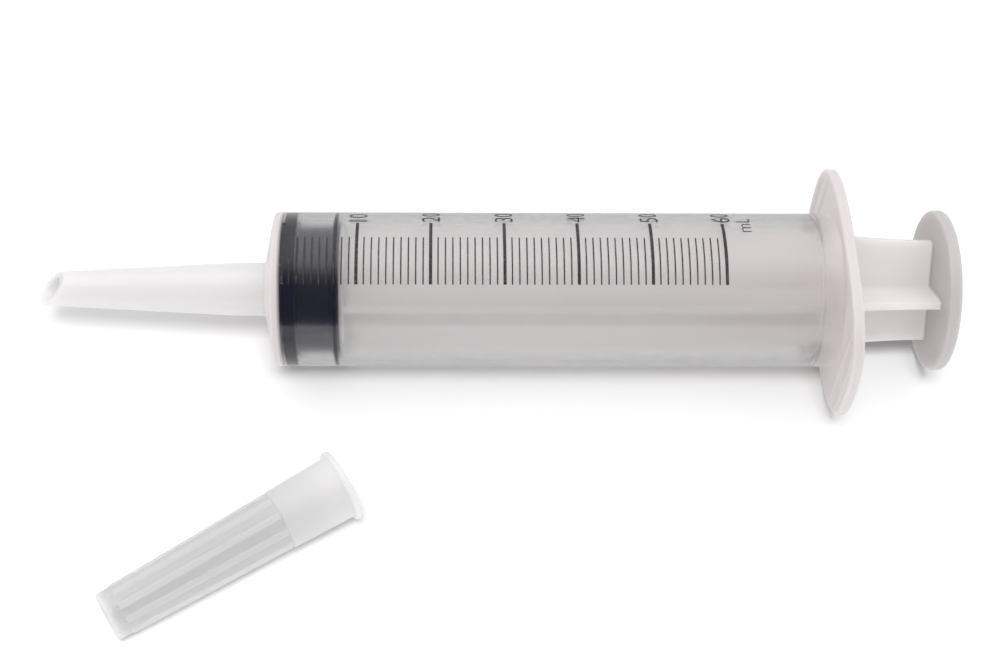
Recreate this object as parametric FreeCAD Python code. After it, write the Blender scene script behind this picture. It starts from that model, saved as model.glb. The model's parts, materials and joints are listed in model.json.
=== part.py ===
"""Sixty millilitre catheter tip syringe, lying on a table with its tip cap taken off and laid beside it.

All lengths are millimetres. The syringe is built along its own axis, +X from the tip to the thumb disc,
with x = 0 where the front wall meets the barrel. It is then laid down: the front edge of the barrel and
the lower side of the finger flange both touch the table, z = 0. The origin is the middle of the footprint.
"""
import FreeCAD, Part
import math
import os

Vector = FreeCAD.Vector
AXIS = Vector(1, 0, 0)
UP = Vector(0, 0, 1)
CENTRE = Vector(0, 0, 0)

# Barrel
bore_radius = 14.6
barrel_wall = 1.5
barrel_length = 118.3
front_wall = 1.55
front_rise = 1.75
nose_radius = 7.6
front_edge_bevel = 0.5
mouth_bevel = 0.7
bead_height = 0.25
bead_width = 1.6
bead_from_rear = 5.8

# Tapered tip
tip_length = 49.5
tip_root_radius = 5.55
tip_wall = 1.15
tip_taper_deg = 3.1
tip_blend = 12.0
tip_root_bevel = 0.8
bevel_deg = 39.0

# Finger flange
flange_half_length = 26.6
flange_half_width = 17.5
flange_thickness = 2.3
flange_side_radius = 91.0
flange_end_radius = 174.0
flange_corner_radius = 14.1
flange_edge_bevel = 0.5
flange_root_bevel = 0.5
ridge_count = 2
ridge_pitch = 4.2
ridge_height = 0.35
ridge_width = 2.2
ridge_end_inset = 1.6

# Printed scale
capacity_ml = 60
marks_per_number = 10
ink_thickness = 0.05
zero_mark_width = 0.8
long_mark_width = 0.65
short_mark_width = 0.28
mark_start_deg = 58.2
short_mark_end_deg = 95.5
long_mark_end_deg = 112.0

# Rubber stopper
stopper_clearance = 0.05
stopper_gap = 0.3
front_rib_width = 2.75
stopper_waist_width = 7.8
rear_rib_width = 1.4
waist_depth = 1.3
wiping_edge_bevel = 0.3
stopper_nose_radius = 4.4
socket_lip = 2.6

# Plunger
head_clearance = 0.08
head_radius = 10.0
head_neck_radius = 8.0
head_length = 6.0
head_bevel = 0.8
plate_radius = 13.9
plate_thickness = 1.0
plate_gap = 0.1
rib_thickness = 1.9
rib_radius = 13.3
rib_waist_radius = 10.8
rib_waist_length = 42.0
rib_waist_pull = 0.43
plunger_roll_deg = 37.0
rod_length = 123.6
thumb_radius = 16.85
thumb_thickness = 2.5
thumb_edge_bevel = 0.6

# Tip cap
cap_clearance = 0.2
cap_wall = 0.85
cap_end_radius = 4.9
cap_length = 52.4
cap_end_wall = 1.2
cap_collar_length = 15.0
cap_plain_length = 3.0
cap_step = 0.3
cap_rim_overhang = 0.95
cap_rim_thickness = 1.3
cap_edge_bevel = 0.3
cap_rib_count = 10
cap_rib_height = 0.3
cap_rib_width = 1.5
cap_plan_deg = 32.0
cap_from_axis = 69.3
cap_from_face = 29.3

# Used only while shaping: how far a cutter reaches past what it cuts, and how near a point counts as touching
overshoot = 2.0
touching = 0.01

# Worked out from the values above
barrel_radius = bore_radius + barrel_wall
taper = math.tan(math.radians(tip_taper_deg))
nose_x = -front_rise
taper_start_x = nose_x - tip_root_bevel - tip_blend / 2
blend_radius = tip_blend / 2 / math.tan(math.radians(tip_taper_deg) / 2)
tip_end_radius = tip_root_radius - taper * (tip_length + taper_start_x)
front_slope = front_rise / (barrel_radius - nose_radius)
bore_front_x = front_wall - front_slope * barrel_wall
flange_front_x = barrel_length - flange_thickness
mark_pitch = 1000.0 / (math.pi * bore_radius ** 2)

stopper_radius = bore_radius - stopper_clearance
stopper_front_x = bore_front_x + stopper_gap
stopper_rear_x = stopper_front_x + front_rib_width + stopper_waist_width + rear_rib_width
zero_mark_x = stopper_front_x + zero_mark_width
plunger_travel = barrel_length - bead_from_rear - bead_width / 2 - stopper_rear_x

plate_front_x = stopper_rear_x + plate_gap
rod_front_x = plate_front_x + plate_thickness
thumb_front_x = rod_front_x + rod_length - plate_thickness
thumb_rear_x = thumb_front_x + thumb_thickness

lie_tilt_deg = math.degrees(math.atan2(
    flange_half_width - barrel_radius,
    flange_front_x + flange_edge_bevel - front_edge_bevel,
))


def corner(x, z, rounding=0.0, bevel=0.0):
    """Corner of an outline in the XZ plane, sharp, rounded to a radius, or cut off by a bevel's reach."""
    return Vector(x, 0, z), rounding, bevel


def outline_edges(corners):
    """Edges of the closed outline through the corners."""
    starts, ends, arcs = [], [], []
    for i, (here, rounding, bevel) in enumerate(corners):
        back = (corners[i - 1][0] - here).normalize()
        ahead = (corners[(i + 1) % len(corners)][0] - here).normalize()
        half_angle = back.getAngle(ahead) / 2
        reach = bevel + rounding / math.tan(half_angle)
        starts.append(here + back * reach)
        ends.append(here + ahead * reach)
        if rounding > 0:
            bisector = (back + ahead).normalize()
            arcs.append(here + bisector * (rounding / math.sin(half_angle) - rounding))
        else:
            arcs.append(None)
    edges = []
    for i, middle in enumerate(arcs):
        if middle is not None:
            edges.append(Part.Arc(starts[i], middle, ends[i]).toShape())
        elif starts[i].distanceToPoint(ends[i]) > 0:
            edges.append(Part.LineSegment(starts[i], ends[i]).toShape())
        following = starts[(i + 1) % len(starts)]
        if ends[i].distanceToPoint(following) > 1e-6:
            edges.append(Part.LineSegment(ends[i], following).toShape())
    return edges


def turned(corners):
    """Solid of revolution about the X axis."""
    face = Part.Face(Part.Wire(outline_edges(corners)))
    return face.revolve(CENTRE, AXIS, 360)


def flange_outline(x, inset):
    """Closed flange outline in the plane at x: bowed sides, flatter ends, and corner arcs that touch both."""
    half_length = flange_half_length - inset
    half_width = flange_half_width - inset
    side_radius = flange_side_radius - inset
    end_radius = flange_end_radius - inset
    corner_radius = flange_corner_radius - inset
    side_centre = Vector(x, 0, half_width - side_radius)
    end_centre = Vector(x, half_length - end_radius, 0)
    span = end_centre - side_centre
    from_side = side_radius - corner_radius
    from_end = end_radius - corner_radius
    along = (from_side ** 2 - from_end ** 2 + span.Length ** 2) / (2 * span.Length)
    across = math.sqrt(from_side ** 2 - along ** 2)
    span.normalize()
    corner_centre = side_centre + span * along + span.cross(AXIS) * across
    side_way = (corner_centre - side_centre).normalize()
    end_way = (corner_centre - end_centre).normalize()
    side_joint = corner_centre + side_way * corner_radius
    end_joint = corner_centre + end_way * corner_radius
    corner_middle = corner_centre + (side_way + end_way).normalize() * corner_radius

    def mirrored(point, y_sign, z_sign):
        return Vector(x, y_sign * point.y, z_sign * point.z)

    arcs = []
    for sign in (1, -1):
        stops = [
            mirrored(side_joint, -sign, sign), Vector(x, 0, sign * half_width),
            mirrored(side_joint, sign, sign), mirrored(corner_middle, sign, sign),
            mirrored(end_joint, sign, sign), Vector(x, sign * half_length, 0),
            mirrored(end_joint, sign, -sign), mirrored(corner_middle, sign, -sign),
            mirrored(side_joint, sign, -sign),
        ]
        for i in range(0, 8, 2):
            arcs.append(Part.Arc(stops[i], stops[i + 1], stops[i + 2]).toShape())
    return Part.Wire(arcs)


def edges_where(shape, test):
    """Edges whose every sampled point passes the test."""
    return [edge for edge in shape.Edges if all(test(point) for point in edge.discretize(9))]


def radius_of(point):
    return math.hypot(point.y, point.z)


def outer_skin():
    """Barrel, front wall and tip as one turned solid, still without its bore."""
    return turned([
        corner(-tip_length, 0),
        corner(-tip_length, tip_end_radius),
        corner(taper_start_x, tip_root_radius, rounding=blend_radius),
        corner(nose_x, tip_root_radius, bevel=tip_root_bevel),
        corner(nose_x, nose_radius),
        corner(0, barrel_radius, bevel=front_edge_bevel),
        corner(barrel_length, barrel_radius),
        corner(barrel_length, 0),
    ])


def bore():
    """The space inside: lumen of the tip, cone behind the front wall, bore and the retaining bead."""
    lumen_root = tip_root_radius - tip_wall
    lumen_end = tip_end_radius - tip_wall
    cone_x = front_wall - front_slope * (barrel_radius - lumen_root)
    bead_x = barrel_length - bead_from_rear
    bead_radius = bore_radius - bead_height
    return turned([
        corner(-tip_length - overshoot, 0),
        corner(-tip_length - overshoot, lumen_end - taper * overshoot),
        corner(taper_start_x, lumen_root, rounding=blend_radius),
        corner(cone_x, lumen_root),
        corner(bore_front_x, bore_radius),
        corner(bead_x - bead_width / 2, bore_radius),
        corner(bead_x, bead_radius),
        corner(bead_x + bead_width / 2, bore_radius),
        corner(barrel_length - mouth_bevel, bore_radius),
        corner(barrel_length, bore_radius + mouth_bevel),
        corner(barrel_length + overshoot, bore_radius + mouth_bevel),
        corner(barrel_length + overshoot, 0),
    ])


def bevel_cutter():
    """Wedge ahead of the slanted end. The opening faces up and the long point is underneath."""
    reach = 2 * tip_root_radius
    slant = math.tan(math.radians(bevel_deg))
    low = Vector(-tip_length + (tip_end_radius - reach) * slant, -reach, -reach)
    high = Vector(-tip_length + (tip_end_radius + reach) * slant, -reach, reach)
    far_x = low.x - 2 * reach
    corners = [low, high, Vector(far_x, -reach, reach), Vector(far_x, -reach, -reach), low]
    return Part.Face(Part.makePolygon(corners)).extrude(Vector(0, 2 * reach, 0))


def flange():
    """Oval finger plate with bevelled rims and grip ridges across the front face of both wings."""
    plate = Part.Face(flange_outline(flange_front_x, 0)).extrude(AXIS * flange_thickness)
    plate = plate.makeChamfer(flange_edge_bevel, edges_where(
        plate,
        lambda p: min(abs(p.x - flange_front_x), abs(p.x - barrel_length)) < touching,
    ))
    inner = flange_outline(flange_front_x - ridge_height, ridge_end_inset)
    bounds = Part.Face(inner).extrude(AXIS * (flange_thickness / 2 + ridge_height))
    round_radius = (ridge_width ** 2 / 4 + ridge_height ** 2) / (2 * ridge_height)
    ridge_x = flange_front_x - ridge_height + round_radius
    outermost = flange_half_length - ridge_end_inset - ridge_width / 2
    for side in (-1, 1):
        for i in range(ridge_count):
            y = side * (outermost - i * ridge_pitch)
            bar = Part.makeCylinder(
                round_radius, 2 * flange_half_width, Vector(ridge_x, y, -flange_half_width), UP)
            plate = plate.fuse(bar.common(bounds))
    return plate


def make_barrel():
    """Barrel, tip and flange: one moulding."""
    body = outer_skin().fuse(flange()).removeSplitter()
    root = edges_where(body, lambda p: abs(p.x - flange_front_x) < touching
                       and abs(radius_of(p) - barrel_radius) < touching)
    body = body.makeChamfer(flange_root_bevel, root)
    return body.cut(bore()).cut(bevel_cutter())


def make_scale_marks():
    """One strip of ink for each millilitre, curved round the barrel. Every tenth is longer and wider."""
    marks = []
    for number in range(capacity_ml + 1):
        is_long = number % marks_per_number == 0
        width = long_mark_width if is_long else short_mark_width
        if number == 0:
            width = zero_mark_width
        end_deg = long_mark_end_deg if is_long else short_mark_end_deg
        x = zero_mark_x + number * mark_pitch
        section = Part.makePolygon([
            Vector(x - width / 2, -barrel_radius, 0),
            Vector(x + width / 2, -barrel_radius, 0),
            Vector(x + width / 2, -barrel_radius - ink_thickness, 0),
            Vector(x - width / 2, -barrel_radius - ink_thickness, 0),
            Vector(x - width / 2, -barrel_radius, 0),
        ])
        face = Part.Face(section)
        face.rotate(CENTRE, AXIS, -mark_start_deg)
        marks.append(face.revolve(CENTRE, AXIS, mark_start_deg - end_deg))
    return Part.makeCompound(marks)


def make_stopper():
    """Rubber stopper: cone that follows the front wall, two sealing ribs, and the plunger's socket."""
    waist_radius = stopper_radius - waist_depth
    waist_x = stopper_front_x + front_rib_width
    rear_rib_x = waist_x + stopper_waist_width
    nose_front_x = stopper_front_x - front_slope * (stopper_radius - stopper_nose_radius)
    skin = turned([
        corner(nose_front_x, 0),
        corner(nose_front_x, stopper_nose_radius),
        corner(stopper_front_x, stopper_radius, bevel=wiping_edge_bevel),
        corner(waist_x, stopper_radius),
        corner(waist_x, waist_radius),
        corner(rear_rib_x, waist_radius),
        corner(rear_rib_x, stopper_radius),
        corner(stopper_rear_x, stopper_radius),
        corner(stopper_rear_x, 0),
    ])
    chamber_end = stopper_rear_x - socket_lip
    chamber_start = chamber_end - head_length - 2 * head_clearance
    socket = turned([
        corner(chamber_start, 0),
        corner(chamber_start, head_radius + head_clearance, bevel=head_bevel),
        corner(chamber_end, head_radius + head_clearance),
        corner(chamber_end, head_neck_radius + head_clearance),
        corner(stopper_rear_x + overshoot, head_neck_radius + head_clearance),
        corner(stopper_rear_x + overshoot, 0),
    ])
    return skin.cut(socket)


def plunger_rib():
    """One of the four arms: full height behind the plate, drawn in by an S curve to a waist at the disc."""
    waist_x = thumb_front_x - rib_waist_length
    pull = rib_waist_pull * rib_waist_length
    curve = Part.BezierCurve()
    curve.setPoles([
        Vector(thumb_front_x, 0, rib_waist_radius),
        Vector(thumb_front_x - pull, 0, rib_waist_radius),
        Vector(waist_x + pull, 0, rib_radius),
        Vector(waist_x, 0, rib_radius),
    ])
    stops = [
        Vector(waist_x, 0, rib_radius),
        Vector(rod_front_x, 0, rib_radius),
        Vector(rod_front_x, 0, 0),
        Vector(thumb_front_x, 0, 0),
        Vector(thumb_front_x, 0, rib_waist_radius),
    ]
    edges = [Part.LineSegment(a, b).toShape() for a, b in zip(stops, stops[1:])]
    rib = Part.Face(Part.Wire(edges + [curve.toShape()])).extrude(Vector(0, rib_thickness, 0))
    rib.translate(Vector(0, -rib_thickness / 2, 0))
    return rib


def make_plunger():
    """Head held in the stopper, backing plate, four ribs and thumb disc: one moulding."""
    head_end = stopper_rear_x - socket_lip - head_clearance
    head_start = head_end - head_length
    head = turned([
        corner(head_start, 0),
        corner(head_start, head_radius, bevel=head_bevel),
        corner(head_end, head_radius),
        corner(head_end, head_neck_radius),
        corner(plate_front_x, head_neck_radius),
        corner(plate_front_x, plate_radius),
        corner(rod_front_x, plate_radius),
        corner(rod_front_x, 0),
    ])
    disc = turned([
        corner(thumb_front_x, 0),
        corner(thumb_front_x, thumb_radius, bevel=thumb_edge_bevel),
        corner(thumb_rear_x, thumb_radius, bevel=thumb_edge_bevel),
        corner(thumb_rear_x, 0),
    ])
    plunger = head.fuse(disc)
    for i in range(4):
        arm = plunger_rib()
        arm.rotate(CENTRE, AXIS, 90 * i)
        plunger = plunger.fuse(arm)
    plunger = plunger.removeSplitter()
    plunger.rotate(CENTRE, AXIS, 90 - plunger_roll_deg)
    return plunger


def cap_rib(collar_x, end_outer, body_outer):
    """One of the cap's lengthwise ribs, along +Z, with its root sunk into the cap."""
    root = Part.makePolygon([
        Vector(cap_plain_length, 0, end_outer - cap_wall),
        Vector(cap_plain_length, 0, end_outer + cap_rib_height),
        Vector(collar_x, 0, body_outer + cap_rib_height),
        Vector(collar_x, 0, body_outer - cap_wall),
        Vector(cap_plain_length, 0, end_outer - cap_wall),
    ])
    rib = Part.Face(root).extrude(Vector(0, cap_rib_width, 0))
    rib.translate(Vector(0, -cap_rib_width / 2, 0))
    return rib


def make_tip_cap():
    """Tip cap, built along X from its closed end to its mouth, before it is laid down."""
    mouth_inner = tip_root_radius + cap_clearance
    mouth_outer = mouth_inner + cap_wall
    rim_outer = mouth_outer + cap_rim_overhang
    rim_x = cap_length - cap_rim_thickness
    collar_x = cap_length - cap_collar_length
    slope = (mouth_outer - cap_step - cap_end_radius) / cap_length
    body_outer = cap_end_radius + slope * collar_x
    skin = turned([
        corner(0, 0),
        corner(0, cap_end_radius, bevel=cap_edge_bevel),
        corner(collar_x, body_outer),
        corner(collar_x + cap_step, body_outer + cap_step),
        corner(rim_x, mouth_outer),
        corner(rim_x, rim_outer, bevel=cap_edge_bevel),
        corner(cap_length, rim_outer, bevel=cap_edge_bevel),
        corner(cap_length, 0),
    ])
    for i in range(cap_rib_count):
        arm = cap_rib(collar_x, cap_end_radius, body_outer)
        arm.rotate(CENTRE, AXIS, 360.0 * i / cap_rib_count)
        skin = skin.fuse(arm)
    hollow = turned([
        corner(cap_end_wall, 0),
        corner(cap_end_wall, cap_end_radius - cap_wall),
        corner(cap_length, mouth_inner),
        corner(cap_length + overshoot, mouth_inner),
        corner(cap_length + overshoot, 0),
    ])
    lie_deg = math.degrees(math.atan2(rim_outer - cap_end_radius, rim_x))
    return skin.removeSplitter().cut(hollow), lie_deg


def seat(shapes):
    """Lowers the shapes together until the lowest point touches the table."""
    low = min(shape.optimalBoundingBox(False, False).ZMin for shape in shapes)
    for shape in shapes:
        shape.translate(Vector(0, 0, -low))


barrel = make_barrel()
syringe = {
    "barrel": barrel,
    "scale_marks": make_scale_marks(),
    "stopper": make_stopper(),
    "plunger": make_plunger(),
}
for shape in syringe.values():
    shape.rotate(CENTRE, Vector(0, 1, 0), -lie_tilt_deg)
seat(list(syringe.values()))

tip_cap, cap_tilt_deg = make_tip_cap()
tip_cap.rotate(CENTRE, Vector(0, 1, 0), -cap_tilt_deg)
tip_cap.rotate(CENTRE, UP, cap_plan_deg)
tip_cap.translate(Vector(-cap_from_face, -cap_from_axis, 0))
seat([tip_cap])

parts = dict(syringe, tip_cap=tip_cap)
whole = Part.makeCompound(list(parts.values())).optimalBoundingBox(False, False)
to_origin = Vector(-(whole.XMin + whole.XMax) / 2, -(whole.YMin + whole.YMax) / 2, 0)

os.makedirs("parts", exist_ok=True)
for name, shape in parts.items():
    shape.translate(to_origin)
    shape.exportStep("parts/" + name + ".step")
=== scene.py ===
"""Looks of a sixty millilitre catheter tip syringe with its tip cap laid beside it.

Lengths are millimetres until a mesh is made. The syringe's skins are worked out in its own frame: s
runs along the axis from the front edge of the barrel, s = 0, to the thumb disc, y points away from the
tip cap, and w is square to both, upwards. An angle round the axis starts at y and turns towards w. The
cap has a frame of its own, with u along its axis from the closed end. The angle of a mark starts at the
camera's side.
"""
import json
import math
import bmesh
import bpy
import numpy as np
from mathutils import Matrix, Vector


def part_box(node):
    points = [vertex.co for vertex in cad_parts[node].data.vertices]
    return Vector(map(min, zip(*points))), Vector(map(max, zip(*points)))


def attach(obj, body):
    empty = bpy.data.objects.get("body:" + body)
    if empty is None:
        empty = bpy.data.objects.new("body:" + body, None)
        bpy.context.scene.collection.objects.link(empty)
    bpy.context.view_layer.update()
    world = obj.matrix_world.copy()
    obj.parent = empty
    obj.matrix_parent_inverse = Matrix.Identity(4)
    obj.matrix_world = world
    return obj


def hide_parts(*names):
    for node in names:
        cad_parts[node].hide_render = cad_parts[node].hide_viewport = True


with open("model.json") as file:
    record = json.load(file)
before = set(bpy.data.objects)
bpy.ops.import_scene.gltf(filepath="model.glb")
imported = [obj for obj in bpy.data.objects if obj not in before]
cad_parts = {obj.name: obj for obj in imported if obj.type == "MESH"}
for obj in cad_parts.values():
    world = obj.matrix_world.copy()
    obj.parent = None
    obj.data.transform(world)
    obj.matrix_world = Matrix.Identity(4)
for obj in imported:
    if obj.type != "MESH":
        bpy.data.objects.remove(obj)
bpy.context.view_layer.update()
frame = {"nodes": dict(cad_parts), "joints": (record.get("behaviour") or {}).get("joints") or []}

MM = 0.001
SMALL_ROUND = 0.1
POLE_RADIUS = 1.0
turn = [joint for joint in frame["joints"] if joint["name"] == "plunger_turn"][0]
AXIS_START = np.array(turn["pos_m"])
AXIS = np.array(turn["axis"])
ACROSS = np.array([0.0, 1.0, 0.0])
RISE = np.cross(AXIS, ACROSS)

# Barrel
BORE_RADIUS = 14.6
BARREL_RADIUS = 16.1
BARREL_LENGTH = 118.3
FRONT_WALL = 1.55
FRONT_RISE = 1.75
NOSE_RADIUS = 7.6
FRONT_EDGE_ROUND = 0.6
NOSE_ROUND = 0.6
BORE_ROUND = 0.4
BORE_STRAIGHT_FROM = 1.0
LUMEN_ROUND = 0.5
MOUTH_ROUND = 0.7
BEAD_HEIGHT = 0.25
BEAD_WIDTH = 1.6
BEAD_FROM_REAR = 5.8

# Tapered tip
TIP_LENGTH = 49.5
TIP_ROOT_RADIUS = 5.55
TIP_WALL = 1.15
TIP_ROOT_FILLET = 0.8
TIP_BLEND = 12.0
TAPER = math.tan(math.radians(3.1))
BEVEL_SLANT = math.tan(math.radians(39.0))
TIP_EDGE_ROUND = 0.25

# Finger flange
FLANGE_HALF_LENGTH = 26.6
FLANGE_HALF_WIDTH = 17.5
FLANGE_THICKNESS = 2.3
FLANGE_SQUARENESS = 2.84
FLANGE_EDGE_ROUND = 0.6
FLANGE_ROOT_ROUND = 0.5
RIDGE_COUNT = 2
RIDGE_PITCH = 4.2
RIDGE_HEIGHT = 0.35
RIDGE_WIDTH = 2.2
RIDGE_END_INSET = 1.6
RIDGE_FADE = 0.7

# Print
CAPACITY = 60
ML_PITCH = 1000.0 / (math.pi * BORE_RADIUS ** 2)
ZERO_MARK = 2.341
DIGIT_HEIGHT = 3.7
DIGITS_START_DEG = 114.0
UNIT_HEIGHT = 2.9
UNIT_FROM_LAST_MARK = 5.8
UNIT_START_DEG = 102.0
INK_THICKNESS = 0.05
INK_UNDERSIDE = 0.005
TYPE_DEPTH = 0.05
TYPE_THINNING = 0.012
STRIP_WIDTH = 0.35

# Stopper
STOPPER_RADIUS = BORE_RADIUS + 0.02
STOPPER_FRONT = 1.541
STOPPER_NOSE_RADIUS = 4.4
FRONT_RIB_WIDTH = 3.55
WAIST_WIDTH = 7.0
REAR_RIB_WIDTH = 1.4
WAIST_DEPTH = 1.3
SOCKET_LIP = 2.6
STOPPER_NOSE_ROUND = 0.5
STOPPER_EDGE_ROUND = 1.2
RIB_EDGE_ROUND = 0.45
WAIST_ROUND = 0.4
SOCKET_END_ROUND = 0.6
LIP_OUTER_ROUND = 0.2
LIP_INNER_ROUND = 0.15

# Plunger
HEAD_CLEARANCE = 0.08
HEAD_RADIUS = 10.0
HEAD_NECK_RADIUS = 8.0
HEAD_LENGTH = 6.0
PLATE_RADIUS = 13.9
PLATE_THICKNESS = 1.0
PLATE_GAP = 0.1
RIB_THICKNESS = 1.9
RIB_RADIUS = 13.3
RIB_WAIST_RADIUS = 10.8
RIB_WAIST_LENGTH = 42.0
PLUNGER_ROLL_DEG = 37.0
ROD_LENGTH = 123.6
THUMB_RADIUS = 16.85
THUMB_THICKNESS = 2.5
THUMB_EDGE_ROUND = 0.7
HEAD_ROUND = 0.8
PLATE_ROUND = 0.25
RIB_FOOT_FILLET = 0.6
RIB_CORNER_ROUND = 0.45
RIB_END_MARGIN = 0.22
FACE_STEP_AT_PLATE = 0.3
FACE_STEP_AT_DISC = 1.5

# Tip cap
CAP_LENGTH = 52.4
CAP_END_RADIUS = 4.9
CAP_MOUTH_INNER = TIP_ROOT_RADIUS + 0.2
CAP_WALL = 0.85
CAP_END_WALL = 1.2
CAP_COLLAR_LENGTH = 15.0
CAP_PLAIN_LENGTH = 3.0
CAP_STEP = 0.3
CAP_RIM_OVERHANG = 0.95
CAP_RIM_THICKNESS = 1.3
CAP_RIB_COUNT = 10
CAP_RIB_HEIGHT = 0.2
CAP_RIB_WIDTH = 1.5
CAP_PLAN_DEG = 32.0
CAP_END_ROUND = 0.4
CAP_FLANK = 0.12
CAP_STEP_LENGTH = 0.15
CAP_STEP_ROUND = 0.2
CAP_RIM_ROUND = 0.45
CAP_RIM_FOOT_ROUND = 0.3
CAP_MOUTH_ROUND = 0.25
CAP_INNER_ROUND = 0.5
MOST_OF_SECTOR = 0.3
MOST_FLANK_OF_SECTOR = 0.05

# Finishes: shares, and factors on lamp light
CLOUDINESS = 0.93
LAMP_THROUGH_CLEAR = 1.0
LAMP_THROUGH_CLOUDY = 0.6
LAMP_TO_FLOOR = 0.73
# share of the painted shade on the plunger towards the flange
PLUNGER_PAINTED_SHADE = 0.78
PLASTIC_IOR = 1.49

# Floor: what the camera sees, and what light thrown back has of it
FLOOR_HALF = 1.5
FLOOR_SEEN = 0.63
FLOOR_IN_GLASS = 0.1
FLOOR_BOUNCE = 0.48
FLOOR_GLOW_IN_GLASS = 0.5
FLOOR_GLOW_BOUNCE = 0.25
FLOOR_FADE_START = 0.22
FLOOR_FADE_END = 0.6

# Lamps and room, in metres, degrees and radiance
SOFTBOX_HEIGHT = 0.8
SOFTBOX_FRONT_DEG = 74.0
SOFTBOX_DEPTH = 1.1
SOFTBOX_WIDTH = 1.8
SOFTBOX_RADIANCE = 0.54
SOFTBOX_GLARE = 1.3
KEY_DEG = 69.5
KEY_DISTANCE = 1.2
KEY_SIZE = 0.42
KEY_RADIANCE = 30.0
ROOM_LIGHT = 0.84
ROOM_GLARE = 0.04
SWEEP_GLARE = 0.62

# Camera
CAMERA_FROM_AXIS_START = np.array([31.99, -206.61, 291.58])
CAMERA_DOWN_DEG = 56.0
CAMERA_YAW_DEG = 4.221
CAMERA_ROLL_DEG = 3.931
FOCAL_PIXELS = 1701.09
PICTURE_WIDTH = 1000
SENSOR_WIDTH = 36.0

# Worked out from the sizes above
NOSE = -FRONT_RISE
FRONT_SLOPE = FRONT_RISE / (BARREL_RADIUS - NOSE_RADIUS)
BORE_FRONT = FRONT_WALL - FRONT_SLOPE * (BARREL_RADIUS - BORE_RADIUS)
FLANGE_FRONT = BARREL_LENGTH - FLANGE_THICKNESS
BLEND_END = NOSE - TIP_ROOT_FILLET
TIP_END_RADIUS = TIP_ROOT_RADIUS - TAPER * (TIP_LENGTH + BLEND_END - TIP_BLEND / 2)
WAIST_FRONT = STOPPER_FRONT + FRONT_RIB_WIDTH
REAR_RIB = WAIST_FRONT + WAIST_WIDTH
STOPPER_REAR = REAR_RIB + REAR_RIB_WIDTH
SOCKET_END = STOPPER_REAR - SOCKET_LIP
PLATE_FRONT = STOPPER_REAR + PLATE_GAP
PLATE_REAR = PLATE_FRONT + PLATE_THICKNESS
THUMB_FRONT = PLATE_FRONT + ROD_LENGTH
THUMB_REAR = THUMB_FRONT + THUMB_THICKNESS


def in_frame(points):
    """Metres in the part's frame, from (s, y, w) in millimetres along the last axis."""
    directions = np.stack([AXIS, ACROSS, RISE])
    return AXIS_START + MM * points @ directions


def ring(s, radius, angles):
    """One closed row of points round the axis: y = radius cos(angle), w = radius sin(angle)."""
    s, radius = np.broadcast_arrays(s, radius, angles)[:2]
    return np.stack([s, radius * np.cos(angles), radius * np.sin(angles)], axis=-1)


def rings(s, radius, angles):
    """Rows of points for a run of places s and radii, one row for each pair."""
    return np.stack([ring(a, b, angles) for a, b in zip(s, radius)])


def rounded_line(corners, steps=6):
    """Points (s, radius) along straight runs. A corner (s, radius, rounding) becomes an arc that is
    tangent to both runs."""
    places = np.array([corner[:2] for corner in corners], float)
    points = []
    for i, here in enumerate(places):
        rounding = corners[i][2] if len(corners[i]) > 2 else 0.0
        if rounding <= 0:
            points.append(here[None])
            continue
        back = places[i - 1] - here
        ahead = places[i + 1] - here
        back = back / np.linalg.norm(back)
        ahead = ahead / np.linalg.norm(ahead)
        half = math.acos(np.clip(back @ ahead, -1, 1)) / 2
        bisector = (back + ahead) / np.linalg.norm(back + ahead)
        centre = here + bisector * rounding / math.sin(half)
        first = here + back * rounding / math.tan(half) - centre
        last = here + ahead * rounding / math.tan(half) - centre
        share = np.linspace(0, 1, steps)[:, None]
        sweep = math.pi - 2 * half
        arc = np.sin((1 - share) * sweep) * first + np.sin(share * sweep) * last
        points.append(centre + arc / math.sin(sweep))
    return np.concatenate(points)


def signed_volume(points, faces):
    """Sum over the faces' triangles of a . (b x c) / 6, positive where the faces point outwards."""
    total = 0.0
    for i, j in ((1, 2), (2, 3)):
        if faces.shape[1] > j:
            a, b, c = points[faces[:, 0]], points[faces[:, i]], points[faces[:, j]]
            total += np.einsum("ij,ij->", a, np.cross(b, c)) / 6
    return total


def skin(name, rows, closed=False, sharp_deg=38.0):
    """Smooth skin over a grid of rows, each closed on itself: quads between neighbours. A closed skin joins
    its last row to its first, and an open one ends in a pole at the mean of each end row."""
    count, around = rows.shape[:2]
    points = rows.reshape(-1, 3)
    i = np.arange(count if closed else count - 1)[:, None]
    j = np.arange(around)[None, :]
    right = (j + 1) % around
    below = (i + 1) % count
    here, next_row = i * around, below * around
    quads = np.stack([here + j, here + right, next_row + right, next_row + j], axis=-1)
    quads = quads.reshape(-1, 4)
    ends = np.zeros((0, 3), int)
    if not closed:
        first, last = len(points), len(points) + 1
        points = np.concatenate([points, rows[:1].mean(axis=1), rows[-1:].mean(axis=1)])
        ring_at = (count - 1) * around
        ends = np.concatenate([
            np.stack([np.full(around, first), right[0], j[0]], axis=-1),
            np.stack([np.full(around, last), ring_at + j[0], ring_at + right[0]], axis=-1),
        ])
    middle = points.mean(axis=0)
    if signed_volume(points - middle, quads) + signed_volume(points - middle, ends) < 0:
        quads = quads[:, ::-1]
        ends = ends[:, ::-1]
    mesh = bpy.data.meshes.new(name)
    mesh.from_pydata(points, [], quads.tolist() + ends.tolist())
    mesh.update()
    mesh.shade_smooth()
    mesh.set_sharp_from_angle(angle=math.radians(sharp_deg))
    piece = bpy.data.objects.new(name, mesh)
    bpy.context.scene.collection.objects.link(piece)
    return piece


def tip_radius(s, root):
    """Radius along the tip: root, less the taper times the distance from where the taper starts. The slope
    grows evenly from none over the blend, so the distance there is a square."""
    from_root = np.maximum(BLEND_END - s, 0)
    blended = from_root ** 2 / (2 * TIP_BLEND)
    distance = np.where(from_root < TIP_BLEND, blended, from_root - TIP_BLEND / 2)
    return root - TAPER * distance


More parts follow.
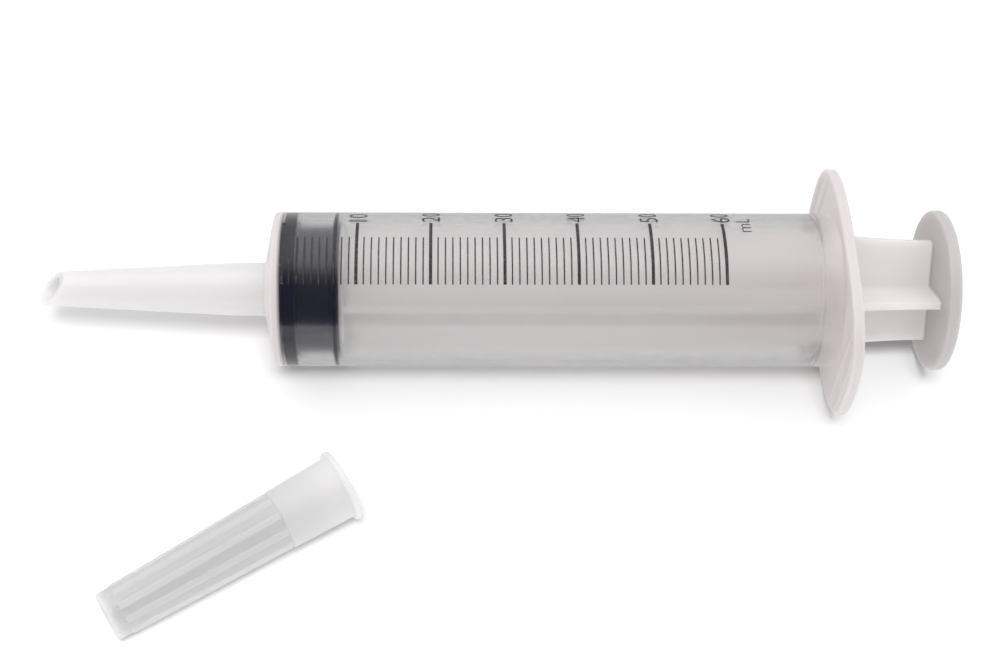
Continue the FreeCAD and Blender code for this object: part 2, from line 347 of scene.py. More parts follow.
def bevel_place(angles, end_radius):
    """Where the slanted end cuts the cone of this end radius. The plane passes through the lowest point of
    the tip, and the cut moves along the axis by the slant times the height above it."""
    height = end_radius * np.sin(angles) + TIP_END_RADIUS
    return -TIP_LENGTH + BEVEL_SLANT * height / (1 - BEVEL_SLANT * TAPER * np.sin(angles))


def flange_radius(angles, inset):
    """Distance to the flange's outline, moved in by the inset: |y / a|^n + |w / b|^n = 1, solved for the
    radius."""
    along = np.abs(np.cos(angles)) / (FLANGE_HALF_LENGTH - inset)
    up = np.abs(np.sin(angles)) / (FLANGE_HALF_WIDTH - inset)
    return (along ** FLANGE_SQUARENESS + up ** FLANGE_SQUARENESS) ** (-1 / FLANGE_SQUARENESS)


def ridge_lift(radius, angles):
    """Height of the grip ridges at a point of the flange's face. Each is a segment of a circle across |y|,
    and it fades out near the outline and near the barrel."""
    side = np.abs(radius * np.cos(angles))
    circle = (RIDGE_WIDTH ** 2 / 4 + RIDGE_HEIGHT ** 2) / (2 * RIDGE_HEIGHT)
    outermost = FLANGE_HALF_LENGTH - RIDGE_END_INSET - RIDGE_WIDTH / 2
    lift = np.zeros_like(side)
    for i in range(RIDGE_COUNT):
        off = side - (outermost - i * RIDGE_PITCH)
        bow = np.sqrt(np.maximum(circle ** 2 - off ** 2, 0)) - (circle - RIDGE_HEIGHT)
        lift = np.maximum(lift, bow)
    to_outline = flange_radius(angles, RIDGE_END_INSET / 2) - radius
    from_barrel = radius - BARREL_RADIUS - FLANGE_ROOT_ROUND
    at_outline = np.clip(to_outline / RIDGE_FADE, 0, 1)
    at_barrel = np.clip(from_barrel / RIDGE_FADE, 0, 1)
    return lift * at_outline * at_barrel


def quarter(steps):
    """Sine and cosine over a quarter turn."""
    turn_by = np.linspace(0, math.pi / 2, steps)
    return np.sin(turn_by), np.cos(turn_by)


def barrel_skin():
    """Barrel, tip and flange. One loop of rows runs from the slanted end over the outside to the finger
    flange, in at the mouth, along the bore and out through the tip."""
    angles = np.linspace(0, 2 * math.pi, 240, endpoint=False)
    rows = []

    def add(s, radius):
        rows.append(ring(s, radius, angles))

    sine, cosine = quarter(4)
    outer_end = bevel_place(angles, TIP_END_RADIUS)
    for a, b in zip(sine, cosine):
        end_radius = tip_radius(outer_end, TIP_ROOT_RADIUS)
        add(outer_end + TIP_EDGE_ROUND * (1 - b), end_radius - TIP_EDGE_ROUND * (1 - a))
    start = outer_end + TIP_EDGE_ROUND
    for share in np.linspace(0, 1, 30)[1:]:
        s = start + (BLEND_END - start) * share
        add(s, tip_radius(s, TIP_ROOT_RADIUS))
    sine, cosine = quarter(7)
    for a, b in zip(sine[1:], cosine[1:]):
        add(BLEND_END + TIP_ROOT_FILLET * a, TIP_ROOT_RADIUS + TIP_ROOT_FILLET * (1 - b))
    front = rounded_line([
        (NOSE, TIP_ROOT_RADIUS + TIP_ROOT_FILLET),
        (NOSE, NOSE_RADIUS, NOSE_ROUND),
        (0, BARREL_RADIUS, FRONT_EDGE_ROUND),
        (BARREL_LENGTH, BARREL_RADIUS),
    ])[1:-1]
    for s, radius in front:
        add(s, radius)
    for s in np.linspace(front[-1][0], FLANGE_FRONT - FLANGE_ROOT_ROUND, 24)[1:]:
        add(s, BARREL_RADIUS)
    for a, b in zip(sine[1:], cosine[1:]):
        add(FLANGE_FRONT - FLANGE_ROOT_ROUND * (1 - a), BARREL_RADIUS + FLANGE_ROOT_ROUND * (1 - b))
    inner = BARREL_RADIUS + FLANGE_ROOT_ROUND
    outer = flange_radius(angles, FLANGE_EDGE_ROUND)
    for share in np.linspace(0, 1, 44)[1:]:
        radius = inner + (outer - inner) * share
        add(FLANGE_FRONT - ridge_lift(radius, angles), radius)
    for a, b in zip(sine[1:], cosine[1:]):
        add(FLANGE_FRONT + FLANGE_EDGE_ROUND * (1 - b), flange_radius(angles, FLANGE_EDGE_ROUND * (1 - a)))
    for a, b in zip(sine[::-1], cosine[::-1]):
        add(BARREL_LENGTH - FLANGE_EDGE_ROUND * (1 - b), flange_radius(angles, FLANGE_EDGE_ROUND * (1 - a)))
    mouth = BORE_RADIUS + MOUTH_ROUND
    for share in np.linspace(0, 1, 8)[1:]:
        add(BARREL_LENGTH, outer + (mouth - outer) * share)
    for a, b in zip(sine[1:], cosine[1:]):
        add(BARREL_LENGTH - MOUTH_ROUND * (1 - b), BORE_RADIUS + MOUTH_ROUND * (1 - a))
    bead = BARREL_LENGTH - BEAD_FROM_REAR
    for off in np.linspace(BEAD_WIDTH / 2, -BEAD_WIDTH / 2, 11):
        add(bead + off, BORE_RADIUS - BEAD_HEIGHT * (1 + math.cos(2 * math.pi * off / BEAD_WIDTH)) / 2)
    for s in np.linspace(bead - BEAD_WIDTH / 2, BORE_FRONT + BORE_STRAIGHT_FROM, 24)[1:]:
        add(s, BORE_RADIUS)
    lumen_root = TIP_ROOT_RADIUS - TIP_WALL
    cone_end = FRONT_WALL - FRONT_SLOPE * (BARREL_RADIUS - lumen_root)
    for s, radius in rounded_line([
        (BORE_FRONT + BORE_STRAIGHT_FROM, BORE_RADIUS),
        (BORE_FRONT, BORE_RADIUS, BORE_ROUND),
        (cone_end, lumen_root, LUMEN_ROUND),
        (-TIP_LENGTH, lumen_root),
    ])[1:-1]:
        add(s, radius)
    inner_start = rows[-1][0, 0]
    inner_end = bevel_place(angles, TIP_END_RADIUS - TIP_WALL)
    for share in np.linspace(0, 1, 30)[1:]:
        s = inner_start + (inner_end - inner_start) * share
        add(s, tip_radius(s, lumen_root))
    return skin("barrel_skin", in_frame(np.stack(rows)), closed=True)


def stopper_skin():
    """Rubber stopper turned from one profile: cone, front rib, waist, rear rib, and the socket behind."""
    neck = HEAD_NECK_RADIUS + HEAD_CLEARANCE
    chamber = HEAD_RADIUS + HEAD_CLEARANCE
    chamber_front = SOCKET_END - HEAD_LENGTH - 2 * HEAD_CLEARANCE
    nose = STOPPER_FRONT - FRONT_SLOPE * (STOPPER_RADIUS - STOPPER_NOSE_RADIUS)
    waist = STOPPER_RADIUS - WAIST_DEPTH
    profile = rounded_line([
        (nose, POLE_RADIUS),
        (nose, STOPPER_NOSE_RADIUS, STOPPER_NOSE_ROUND),
        (STOPPER_FRONT, STOPPER_RADIUS, STOPPER_EDGE_ROUND),
        (WAIST_FRONT, STOPPER_RADIUS, RIB_EDGE_ROUND),
        (WAIST_FRONT, waist, WAIST_ROUND),
        (REAR_RIB, waist, WAIST_ROUND),
        (REAR_RIB, STOPPER_RADIUS, RIB_EDGE_ROUND),
        (STOPPER_REAR, STOPPER_RADIUS, RIB_EDGE_ROUND),
        (STOPPER_REAR, neck, LIP_OUTER_ROUND),
        (SOCKET_END, neck, LIP_INNER_ROUND),
        (SOCKET_END, chamber, SMALL_ROUND),
        (chamber_front, chamber, SOCKET_END_ROUND),
        (chamber_front, POLE_RADIUS),
    ])
    angles = np.linspace(0, 2 * math.pi, 192, endpoint=False)
    return skin("stopper_skin", in_frame(rings(profile[:, 0], profile[:, 1], angles)))


def rib_reach(s):
    """How far the plunger's ribs reach from the axis: full height, then an S curve to the waist at the
    disc."""
    share = np.clip((s - (THUMB_FRONT - RIB_WAIST_LENGTH)) / RIB_WAIST_LENGTH, 0, 1)
    eased = share * share * (3 - 2 * share)
    return RIB_RADIUS + (RIB_WAIST_RADIUS - RIB_RADIUS) * eased


def cross_section(reach, grow):
    """Closed outline of the four ribs, as angles and radii. On a rib's end the radius is reach / cos,
    and on its flank it is where a hyperbola runs along both neighbouring flanks, which rounds the inner
    corner. grow moves the flanks out, for the fillet at a plate."""
    half = RIB_THICKNESS / 2 + grow
    tip_turn = math.atan2(half, reach)
    edge_turn = RIB_END_MARGIN / reach
    on_end = np.linspace(0, 1, 5) * (tip_turn - edge_turn)
    flank_start = tip_turn + edge_turn
    on_flank = flank_start + np.linspace(0, 1, 14) ** 1.3 * (math.pi / 4 - flank_start)
    end_radius = reach / np.cos(on_end)
    c, s = np.cos(on_flank), np.sin(on_flank)
    middle = half * (c + s)
    under_root = middle ** 2 - 4 * c * s * (half ** 2 - RIB_CORNER_ROUND ** 2)
    flank_radius = (middle + np.sqrt(under_root)) / (2 * c * s)
    flank_radius = np.minimum(flank_radius, reach / c)
    angles = np.concatenate([on_end, on_flank])
    radii = np.concatenate([end_radius, flank_radius])
    one_angles = np.concatenate([-angles[:0:-1], angles[:-1]])
    one_radii = np.concatenate([radii[:0:-1], radii[:-1]])
    roll = math.pi - math.radians(PLUNGER_ROLL_DEG)
    turns = roll + math.pi / 2 * np.arange(4)
    return (turns[:, None] + one_angles).ravel(), np.tile(one_radii, 4)


def plunger_skin():
    """Plunger in one skin: head, neck and backing plate turned, the four ribs, and the thumb disc turned.
    The rows keep the ribs' angles, so the plates' faces run from the ribs' outline out to a circle."""
    head_rear = SOCKET_END - HEAD_CLEARANCE
    front = rounded_line([
        (head_rear - HEAD_LENGTH, POLE_RADIUS),
        (head_rear - HEAD_LENGTH, HEAD_RADIUS, HEAD_ROUND),
        (head_rear, HEAD_RADIUS, SMALL_ROUND),
        (head_rear, HEAD_NECK_RADIUS, SMALL_ROUND),
        (PLATE_FRONT, HEAD_NECK_RADIUS, SMALL_ROUND),
        (PLATE_FRONT, PLATE_RADIUS, PLATE_ROUND),
        (PLATE_REAR, PLATE_RADIUS, PLATE_ROUND),
        (PLATE_REAR, RIB_RADIUS + FACE_STEP_AT_PLATE),
    ], steps=5)
    rear = rounded_line([
        (THUMB_FRONT, RIB_WAIST_RADIUS + FACE_STEP_AT_DISC),
        (THUMB_FRONT, THUMB_RADIUS, THUMB_EDGE_ROUND),
        (THUMB_REAR, THUMB_RADIUS, THUMB_EDGE_ROUND),
        (THUMB_REAR, POLE_RADIUS),
    ], steps=9)
    fillet = RIB_FOOT_FILLET
    sine, cosine = quarter(6)
    front_angles, front_outline = cross_section(RIB_RADIUS, fillet)
    rear_angles, rear_outline = cross_section(RIB_WAIST_RADIUS, fillet)
    rows = [ring(s, radius, front_angles) for s, radius in front]
    halfway = (RIB_RADIUS + FACE_STEP_AT_PLATE + front_outline) / 2
    rows.append(ring(PLATE_REAR, halfway, front_angles))
    for a, b in zip(sine, cosine):
        angles, radii = cross_section(RIB_RADIUS, fillet * (1 - a))
        rows.append(ring(PLATE_REAR + fillet * (1 - b), radii, angles))
    for s in np.linspace(PLATE_REAR + fillet, THUMB_FRONT - fillet, 60)[1:-1]:
        angles, radii = cross_section(float(rib_reach(s)), 0.0)
        rows.append(ring(s, radii, angles))
    for a, b in zip(sine[::-1], cosine[::-1]):
        angles, radii = cross_section(RIB_WAIST_RADIUS, fillet * (1 - a))
        rows.append(ring(THUMB_FRONT - fillet * (1 - b), radii, angles))
    halfway = (RIB_WAIST_RADIUS + FACE_STEP_AT_DISC + rear_outline) / 2
    rows.append(ring(THUMB_FRONT, halfway, rear_angles))
    rows += [ring(s, radius, rear_angles) for s, radius in rear]
    return skin("plunger_skin", in_frame(np.stack(rows)))


def cap_skin():
    """Tip cap: closed end, a plain length, lengthwise ribs, a smooth collar, the rim and the hollow. In
    each of the equal sectors the rib's top, its two flanks and the valley have angles of their own,
    which narrow as the radius grows, so the ribs keep one width."""
    mouth_outer = CAP_MOUTH_INNER + CAP_WALL
    rim_outer = mouth_outer + CAP_RIM_OVERHANG
    rim = CAP_LENGTH - CAP_RIM_THICKNESS
    collar = CAP_LENGTH - CAP_COLLAR_LENGTH
    slope = (mouth_outer - CAP_STEP - CAP_END_RADIUS) / CAP_LENGTH
    collar_radius = CAP_END_RADIUS + slope * collar
    sector = 2 * math.pi / CAP_RIB_COUNT

    def row(u, radius, rib):
        half = math.asin(CAP_RIB_WIDTH / 2 / max(radius, CAP_RIB_WIDTH))
        half = min(half, MOST_OF_SECTOR * sector)
        flank = min(CAP_FLANK / radius, MOST_FLANK_OF_SECTOR * sector)
        top = np.linspace(-half + flank, half - flank, 5)
        valley = np.linspace(half + flank, sector - half - flank, 8)
        local = np.concatenate([top, valley])
        lift = np.concatenate([np.full(len(top), rib), np.zeros(len(valley))])
        angles = (sector * np.arange(CAP_RIB_COUNT)[:, None] + local).ravel()
        return ring(u, radius + np.tile(lift, CAP_RIB_COUNT), angles)

    rows = []
    for u, radius in rounded_line([
        (0, POLE_RADIUS),
        (0, CAP_END_RADIUS, CAP_END_ROUND),
        (CAP_PLAIN_LENGTH - CAP_STEP_LENGTH, CAP_END_RADIUS + slope * CAP_PLAIN_LENGTH),
    ]):
        rows.append(row(u, radius, 0.0))
    for u in np.linspace(CAP_PLAIN_LENGTH, collar, 30):
        rows.append(row(u, CAP_END_RADIUS + slope * u, CAP_RIB_HEIGHT))
    for u, radius in rounded_line([
        (collar + CAP_STEP_LENGTH, collar_radius),
        (collar + CAP_STEP_LENGTH + CAP_STEP, collar_radius + CAP_STEP, CAP_STEP_ROUND),
        (rim, mouth_outer, CAP_RIM_FOOT_ROUND),
        (rim, rim_outer, CAP_RIM_ROUND),
        (CAP_LENGTH, rim_outer, CAP_RIM_ROUND),
        (CAP_LENGTH, CAP_MOUTH_INNER, CAP_MOUTH_ROUND),
        (CAP_END_WALL, CAP_END_RADIUS - CAP_WALL, CAP_INNER_ROUND),
        (CAP_END_WALL, POLE_RADIUS),
    ]):
        rows.append(row(u, radius, 0.0))
    points = np.stack(rows)
    plan = math.radians(CAP_PLAN_DEG)
    tilt = math.atan2(rim_outer - CAP_END_RADIUS, rim)
    level = math.cos(tilt)
    along = np.array([level * math.cos(plan), level * math.sin(plan), math.sin(tilt)])
    side = np.array([-math.sin(plan), math.cos(plan), 0.0])
    points = MM * points @ np.stack([along, side, np.cross(along, side)])
    low, high = (np.array(corner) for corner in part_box("tip_cap"))
    flat = points.reshape(-1, 3)
    shift = (low + high) / 2 - (flat.min(axis=0) + flat.max(axis=0)) / 2
    shift[2] = low[2] - flat[:, 2].min()
    return skin("tip_cap_skin", points + shift)


def places(mesh):
    """Where a mesh's vertices are, one row each."""
    found = np.zeros(len(mesh.vertices) * 3)
    mesh.vertices.foreach_get("co", found)
    return found.reshape(-1, 3)


def printed_words(name, words, height, base, start_deg):
    """Ink on the barrel that reads round it, upwards, with its tops towards the tip. Flat type is cut into
    narrow strips, and a point (x, y) of it goes to the angle start + x / radius and the place base - y."""
    type_curve = bpy.data.curves.new(name, "FONT")
    type_curve.body = words
    type_curve.extrude = TYPE_DEPTH
    type_curve.offset = -TYPE_THINNING
    type_curve.resolution_u = 6
    holder = bpy.data.objects.new(name + "_type", type_curve)
    bpy.context.scene.collection.objects.link(holder)
    depsgraph = bpy.context.evaluated_depsgraph_get()
    flat = bpy.data.meshes.new_from_object(holder.evaluated_get(depsgraph))
    bpy.data.objects.remove(holder)
    corners = places(flat)
    low, high = corners.min(axis=0), corners.max(axis=0)
    scale = height / (high[1] - low[1])
    strip = STRIP_WIDTH / scale
    shape = bmesh.new()
    shape.from_mesh(flat)
    bpy.data.meshes.remove(flat)
    bmesh.ops.remove_doubles(shape, verts=shape.verts, dist=1e-5)
    for k in range(1, int((high[0] - low[0]) / strip) + 1):
        everything = shape.verts[:] + shape.edges[:] + shape.faces[:]
        cut_at = (low[0] + k * strip, 0, 0)
        bmesh.ops.bisect_plane(shape, geom=everything, plane_co=cut_at, plane_no=(1, 0, 0))
    mesh = bpy.data.meshes.new(name)
    shape.to_mesh(mesh)
    shape.free()
    x, y, z = places(mesh).T
    angle = math.radians(start_deg) + (x - low[0]) * scale / BARREL_RADIUS
    radius = BARREL_RADIUS + np.where(z > 0, INK_THICKNESS, INK_UNDERSIDE)
    s = base - (y - low[1]) * scale
    points = np.stack([s, -radius * np.cos(angle), radius * np.sin(angle)], axis=-1)
    mesh.vertices.foreach_set("co", in_frame(points).ravel())
    mesh.update()
    piece = bpy.data.objects.new(name, mesh)
    bpy.context.scene.collection.objects.link(piece)
    return piece


class Wire:
    """A number or colour from a node. Arithmetic on it adds Math nodes."""

    def __init__(self, finish, socket):
        self.finish = finish
        self.socket = socket

    def maths(self, operation, *values):
        return self.finish.node("ShaderNodeMath", {"operation": operation}, dict(enumerate(values)))

    def __add__(self, other):
        return self.maths("ADD", self, other)

    def __sub__(self, other):
        return self.maths("SUBTRACT", self, other)

    def __rsub__(self, other):
        return self.maths("SUBTRACT", other, self)

    def __mul__(self, other):
        return self.maths("MULTIPLY", self, other)

    __radd__ = __add__
    __rmul__ = __mul__


class Finish:
    """A material, or the room, being made. node adds one node: its type, its settings, then the values or
    wires of its sockets. rays gives Light Path's outputs by name."""

    def __init__(self, name, owners=None):
        self.owner = (bpy.data.materials if owners is None else owners).new(name)
        self.owner.use_nodes = True
        self.tree = self.owner.node_tree
        self.tree.nodes.clear()

    def node(self, kind, settings=None, sockets=None, output=0):
        made = self.tree.nodes.new(kind)
        for name, value in (settings or {}).items():
            setattr(made, name, value)
        for name, value in (sockets or {}).items():
            if isinstance(value, Wire):
                self.tree.links.new(value.socket, made.inputs[name])
            else:
                made.inputs[name].default_value = value
        return Wire(self, made.outputs[output]) if made.outputs else None

    def rays(self, *kinds):
        return [self.node("ShaderNodeLightPath", output=kind) for kind in kinds]

    def surface(self, shader):
        self.node("ShaderNodeOutputMaterial", None, {"Surface": shader})
        return self.owner


def along_the_part(finish, scale):
    """Object coordinates turned into the syringe's frame and scaled, so that a pattern runs along the
    axis."""
    place = finish.node("ShaderNodeTexCoord", output=3)
    tilt = math.atan2(AXIS[2], AXIS[0])
    return finish.node("ShaderNodeMapping", None, {
        "Vector": place, "Rotation": (0, tilt, 0), "Scale": scale,
    })


def between(finish, s_start, s_end):
    """Number that runs from 0 at one place along the axis to 1 at the other, in millimetres."""
    s = finish.node("ShaderNodeSeparateXYZ", None, {"Vector": along_the_part(finish, (1 / MM,) * 3)})
    zero = float(AXIS @ AXIS_START) / MM
    return finish.node("ShaderNodeMapRange", None, {
        "Value": s, "From Min": zero + s_start, "From Max": zero + s_end,
    })


def noise(finish, vector, detail, scale=1.0):
    """Soft random pattern, with a mean near 0.5, at one cycle for each unit of the vector times the
    scale."""
    return finish.node("ShaderNodeTexNoise", None, {"Vector": vector, "Scale": scale, "Detail": detail})


def grey(value):
    """Colour with this much of red, green and blue."""
    return (value, value, value, 1)


def mixed(finish, factor, first, second):
    """Colour between two colours."""
    return finish.node("ShaderNodeMix", {"data_type": "RGBA"}, {0: factor, 6: first, 7: second}, output=2)


def lets_lamps_through(finish, plastic, cloud):
    """Shader that lets a share of a lamp's light straight through, at each surface, for what lies
    behind. The share falls from clear to cloudy plastic, and is less for what the camera sees past the
    part."""
    towards_lamp, seen_inside = finish.rays("Is Shadow Ray", "Transmission Depth")
    inside = seen_inside.maths("MINIMUM", seen_inside, 1.0)
    share = LAMP_THROUGH_CLEAR - (LAMP_THROUGH_CLEAR - LAMP_THROUGH_CLOUDY) * cloud
    share = share * (LAMP_TO_FLOOR + (1.0 - LAMP_TO_FLOOR) * inside)
    veil = finish.node("ShaderNodeBsdfTransparent", None, {"Color": (1, 0.985, 0.985, 1)})
    return finish.node("ShaderNodeMixShader", None, {0: towards_lamp * share, 1: plastic, 2: veil})


def clear_plastic():
    """Clear polypropylene under a smooth moulded surface: light goes through the barrel and is spread a
    little. The tapered tip, the front wall and the flange are cloudier, and from the tip's root back their
    milk is darker, painted shade. Faint flow lines run along the barrel."""
    finish = Finish("clear_polypropylene_finish")
    lines = noise(finish, along_the_part(finish, (30, 900, 900)), 2.0)
    clouds = noise(finish, along_the_part(finish, (90, 90, 90)), 3.0)
    bump = finish.node("ShaderNodeBump", None, {"Height": lines, "Strength": 0.04, "Distance": 0.0002})
    tint = mixed(finish, clouds, (0.99, 0.968, 0.972, 1), (0.998, 0.985, 0.985, 1))
    clear = finish.node("ShaderNodeBsdfPrincipled", None, {
        "Base Color": tint, "Roughness": 0.17 + 0.05 * clouds, "IOR": PLASTIC_IOR,
        "Transmission Weight": 1.0, "Specular IOR Level": 0.0, "Coat Weight": 0.7, "Coat Roughness": 0.03,
        "Normal": bump,
    })
    milk_and_shade = mixed(finish, clouds, (0.93, 0.875, 0.88, 1), (0.955, 0.915, 0.92, 1))
    # painted shade: the milk is darker from the tip's root back, over the front wall and the flange
    milk_and_shade = mixed(finish, between(finish, -2.6, -0.6), milk_and_shade, (0.78, 0.725, 0.725, 1))
    cloudy = finish.node("ShaderNodeBsdfPrincipled", None, {
        "Base Color": milk_and_shade, "Roughness": 0.3, "IOR": PLASTIC_IOR, "Subsurface Weight": 1.0,
        "Subsurface Radius": (1.0, 1.0, 1.0), "Subsurface Scale": 0.0015, "Normal": bump,
    })
    cloud = between(finish, 2.0, 1.2) + between(finish, FLANGE_FRONT - 5.0, FLANGE_FRONT)
    plastic = finish.node("ShaderNodeMixShader", None, {0: CLOUDINESS * cloud, 1: clear, 2: cloudy})
    return finish.surface(lets_lamps_through(finish, plastic, cloud))


def milky_plastic():
    """Milky polypropylene of the plunger: light sinks in and spreads, with drag lines from the mould.
    Its colour darkens over the fifty millimetres before the flange and stays dark beyond, painted shade
    that leaves the part deep in the barrel lighter, and the disc is darker still, painted shade."""
    finish = Finish("milky_polypropylene_finish")
    lines = noise(finish, along_the_part(finish, (40, 1400, 1400)), 2.0)
    clouds = noise(finish, along_the_part(finish, (120, 120, 120)), 3.0)
    tint = mixed(finish, clouds, (0.97, 0.94, 0.935, 1), (0.99, 0.965, 0.96, 1))
    # painted shade: the plunger darkens towards the flange, so the part deep in the barrel stays lighter
    outside = between(finish, FLANGE_FRONT - 50.0, FLANGE_FRONT)
    tint = mixed(finish, PLUNGER_PAINTED_SHADE * outside, tint, (0.8, 0.765, 0.76, 1))
    # painted shade: the disc is made darker than the rest of the plunger
    disc = between(finish, THUMB_FRONT - 0.5, THUMB_FRONT)
    tint = mixed(finish, disc, tint, (0.52, 0.498, 0.498, 1))
    bump = finish.node("ShaderNodeBump", None, {"Height": lines, "Strength": 0.1, "Distance": 0.0002})
    return finish.surface(finish.node("ShaderNodeBsdfPrincipled", None, {
        "Base Color": tint, "Roughness": 0.34 + 0.1 * clouds, "IOR": PLASTIC_IOR, "Subsurface Weight": 1.0,
        "Subsurface Radius": (1.0, 0.9, 0.9), "Subsurface Scale": 0.005, "Normal": bump,
    }))


def cap_plastic():
    """Translucent polypropylene of the tip cap: thin, with a satin surface."""
    finish = Finish("cap_polypropylene_finish")
    place = finish.node("ShaderNodeTexCoord", output=3)
    fine = noise(finish, place, 2.0, 900.0)
    clouds = noise(finish, place, 3.0, 110.0)
    tint = mixed(finish, clouds, (0.975, 0.905, 0.92, 1), (0.99, 0.935, 0.95, 1))
    bump = finish.node("ShaderNodeBump", None, {"Height": fine, "Strength": 0.08, "Distance": 0.0001})
    return finish.surface(finish.node("ShaderNodeBsdfPrincipled", None, {
        "Base Color": tint, "Roughness": 0.38 + 0.08 * clouds, "IOR": PLASTIC_IOR,
        "Transmission Weight": 0.08, "Subsurface Weight": 1.0, "Subsurface Radius": (1.0, 1.0, 1.0),
        "Subsurface Scale": 0.004, "Normal": bump,
    }))


def navy_rubber():
    """Smooth dark blue rubber, wet with lubricant, with a faint mottle."""
    finish = Finish("navy_rubber_finish")
    place = finish.node("ShaderNodeTexCoord", output=3)
    mottle = noise(finish, place, 4.0, 700.0)
    tint = mixed(finish, mottle, (0.008, 0.009, 0.03, 1), (0.016, 0.018, 0.052, 1))
    bump = finish.node("ShaderNodeBump", None, {"Height": mottle, "Strength": 0.05, "Distance": 0.0001})
    return finish.surface(finish.node("ShaderNodeBsdfPrincipled", None, {
        "Base Color": tint, "Roughness": 0.3 + 0.12 * mottle, "Specular IOR Level": 0.25,
        "Coat Weight": 0.1, "Normal": bump,
    }))


def screen_ink():
    """Black screen ink with small bare specks."""
    finish = Finish("black_ink_finish")
    place = finish.node("ShaderNodeTexCoord", output=3)
    grain = noise(finish, place, 3.0, 3500.0)
    specks = finish.node("ShaderNodeMapRange", None, {"Value": grain, "From Min": 0.57, "From Max": 0.68})
    tint = mixed(finish, specks, (0.028, 0.022, 0.026, 1), (0.2, 0.18, 0.19, 1))
    return finish.surface(finish.node("ShaderNodeBsdfPrincipled", None, {
        "Base Color": tint, "Roughness": 0.45 + 0.2 * grain,
    }))


def floor_paper():
    """White sweep. The camera sees it by the key light, with its shadows, and far off it fades to plain
    white. Reflections, clear plastic and the light thrown back on the object have it as a sheet lit
    from below too."""
    finish = Finish("floor_paper_finish")
    thrown, seen = finish.rays("Diffuse Depth", "Is Camera Ray")
    thrown = thrown.maths("MINIMUM", thrown, 1.0)
    tint = mixed(finish, thrown, grey(FLOOR_IN_GLASS), grey(FLOOR_BOUNCE))
    tint = mixed(finish, seen, tint, grey(FLOOR_SEEN))
    place = finish.node("ShaderNodeTexCoord", output=3)
    away = finish.node("ShaderNodeVectorMath", {"operation": "LENGTH"}, {0: place}, output=1)
    away = finish.node("ShaderNodeMapRange", None, {
        "Value": away, "From Min": FLOOR_FADE_START, "From Max": FLOOR_FADE_END,
    })
    glow = mixed(finish, thrown, grey(FLOOR_GLOW_IN_GLASS), grey(FLOOR_GLOW_BOUNCE))
    glow = mixed(finish, seen, glow, mixed(finish, away, grey(0), grey(1)))
    return finish.surface(finish.node("ShaderNodeBsdfPrincipled", None, {
        "Base Color": tint, "Roughness": 1.0, "Specular IOR Level": 0.0, "Emission Color": glow,
        "Emission Strength": 1.0,
    }))


def make_floor():
    """Flat sheet under the object."""
    half = FLOOR_HALF
    corners = [(-half, -half, 0), (half, -half, 0), (half, half, 0), (-half, half, 0)]
    mesh = bpy.data.meshes.new("floor")
    mesh.from_pydata(corners, [], [(0, 1, 2, 3)])
    floor = bpy.data.objects.new("floor", mesh)
    mesh.materials.append(floor_paper())
    bpy.context.scene.collection.objects.link(floor)
    return floor


def sheet_light(name, size, place, radiance):
    """A rectangle of light that faces straight down, with the energy that gives it this radiance."""
    lamp = bpy.data.lights.new(name, "AREA")
    lamp.shape = "RECTANGLE"
    lamp.size, lamp.size_y = size
    lamp.energy = radiance * math.pi * size[0] * size[1]
    sheet = bpy.data.objects.new(name, lamp)
    sheet.location = place
    bpy.context.scene.collection.objects.link(sheet)
    return sheet


def make_lamps(floor):
    """A wide softbox overhead lights the object, with a brighter glare for reflections. A key light
    from the camera's side, turned towards the object, lights the floor alone, for its close shadow."""
    front = -SOFTBOX_HEIGHT / math.tan(math.radians(SOFTBOX_FRONT_DEG))
    overhead = (0, front + SOFTBOX_DEPTH / 2, SOFTBOX_HEIGHT)
    size = (SOFTBOX_WIDTH, SOFTBOX_DEPTH)
    softbox = sheet_light("softbox", size, overhead, SOFTBOX_RADIANCE)
    softbox.visible_glossy = softbox.visible_transmission = False
    glare = sheet_light("softbox_glare", size, overhead, SOFTBOX_GLARE)
    glare.visible_diffuse = glare.visible_transmission = False
    slope = math.radians(KEY_DEG)
    place = (0, -KEY_DISTANCE * math.cos(slope), KEY_DISTANCE * math.sin(slope))
    key = sheet_light("key", (KEY_SIZE, KEY_SIZE), place, KEY_RADIANCE)
    key.rotation_euler = (slope - math.pi / 2, 0, 0)
    key.visible_glossy = key.visible_transmission = False
    lit = bpy.data.collections.new("lit_by_key")
    lit.objects.link(floor)
    key.light_linking.receiver_collection = lit


def make_room():
    """The room is a white sweep behind and darkness on the camera's side, which show only in
    reflections and through clear plastic. It lights matt surfaces evenly, and the camera sees it plain
    white."""
    room = Finish("room", bpy.data.worlds)
    direction = room.node("ShaderNodeTexCoord")
    towards = room.node("ShaderNodeSeparateXYZ", None, {"Vector": direction}, output=1)
    strength = room.node("ShaderNodeMapRange", None, {
        "Value": towards, "From Min": -0.25, "From Max": 0.15, "To Min": ROOM_GLARE, "To Max": SWEEP_GLARE,
    })
    thrown, seen = room.rays("Diffuse Depth", "Is Camera Ray")
    strength = room.node("ShaderNodeMix", None, {0: thrown, 2: strength, 3: ROOM_LIGHT})
    strength = room.node("ShaderNodeMix", None, {0: seen, 2: strength, 3: 1.0})
    light = room.node("ShaderNodeBackground", None, {"Color": grey(1), "Strength": strength})
    room.node("ShaderNodeOutputWorld", None, {"Surface": light})
    bpy.context.scene.world = room.owner


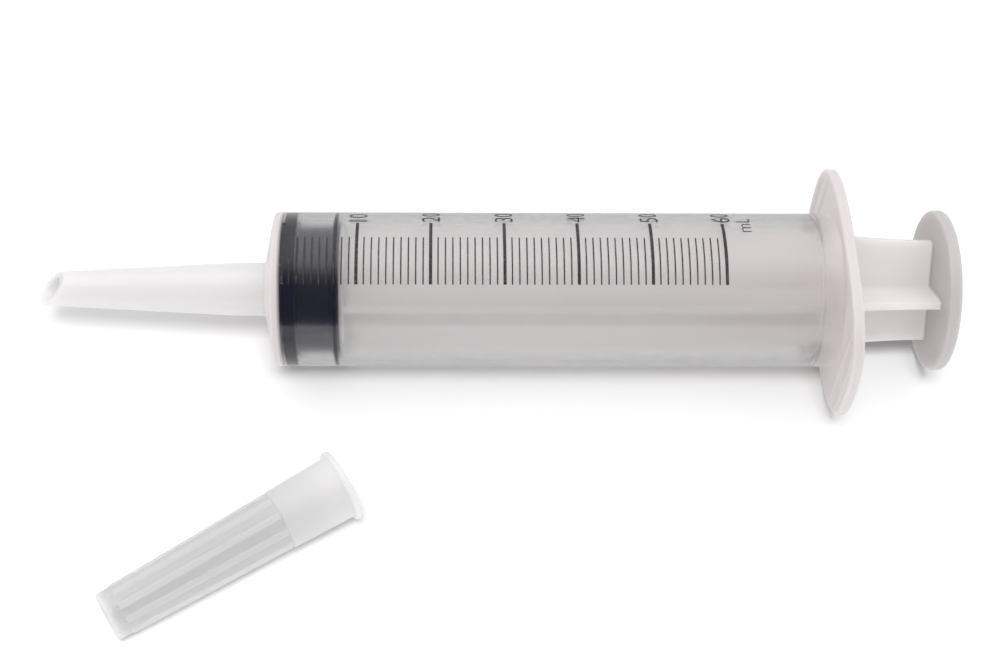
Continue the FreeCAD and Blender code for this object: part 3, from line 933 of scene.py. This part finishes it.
def make_camera():
    """Camera at the photograph's viewing angle, looking down at the barrel from the side of the tip cap."""
    down, yaw, roll = (math.radians(a) for a in (CAMERA_DOWN_DEG, CAMERA_YAW_DEG, CAMERA_ROLL_DEG))
    level_part = math.cos(down)
    ahead = Vector((math.sin(yaw) * level_part, math.cos(yaw) * level_part, -math.sin(down)))
    level = ahead.cross(Vector((0, 0, 1))).normalized()
    over = level.cross(ahead)
    right = math.cos(roll) * level + math.sin(roll) * over
    up = -math.sin(roll) * level + math.cos(roll) * over
    data = bpy.data.cameras.new("camera")
    data.sensor_width = SENSOR_WIDTH
    data.lens = FOCAL_PIXELS / PICTURE_WIDTH * SENSOR_WIDTH
    data.clip_start = 0.01
    camera = bpy.data.objects.new("camera", data)
    place = Matrix((right, up, -ahead)).transposed().to_4x4()
    place.translation = Vector(AXIS_START + MM * CAMERA_FROM_AXIS_START)
    camera.matrix_world = place
    bpy.context.scene.collection.objects.link(camera)
    bpy.context.scene.camera = camera


def dress(piece, body, material, node=None):
    """Gives a piece its material and its body, and hides the CAD node that it stands for."""
    piece.data.materials.clear()
    piece.data.materials.append(material)
    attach(piece, body)
    if node:
        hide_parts(node)


ink = screen_ink()
dress(barrel_skin(), "barrel", clear_plastic(), "barrel")
dress(stopper_skin(), "stopper", navy_rubber(), "stopper")
dress(plunger_skin(), "plunger", milky_plastic(), "plunger")
dress(cap_skin(), "barrel", cap_plastic(), "tip_cap")
for number in range(10, CAPACITY + 10, 10):
    base = ZERO_MARK + number * ML_PITCH + DIGIT_HEIGHT / 2
    words = printed_words("numeral_%d" % number, str(number), DIGIT_HEIGHT, base, DIGITS_START_DEG)
    dress(words, "barrel", ink)
unit_base = ZERO_MARK + CAPACITY * ML_PITCH + UNIT_FROM_LAST_MARK
dress(printed_words("unit", "mL", UNIT_HEIGHT, unit_base, UNIT_START_DEG), "barrel", ink)
marks = frame["nodes"]["scale_marks"]
marks.data.materials.clear()
marks.data.materials.append(ink)

make_lamps(make_floor())
make_room()
make_camera()
bpy.context.scene.view_settings.view_transform = "Standard"
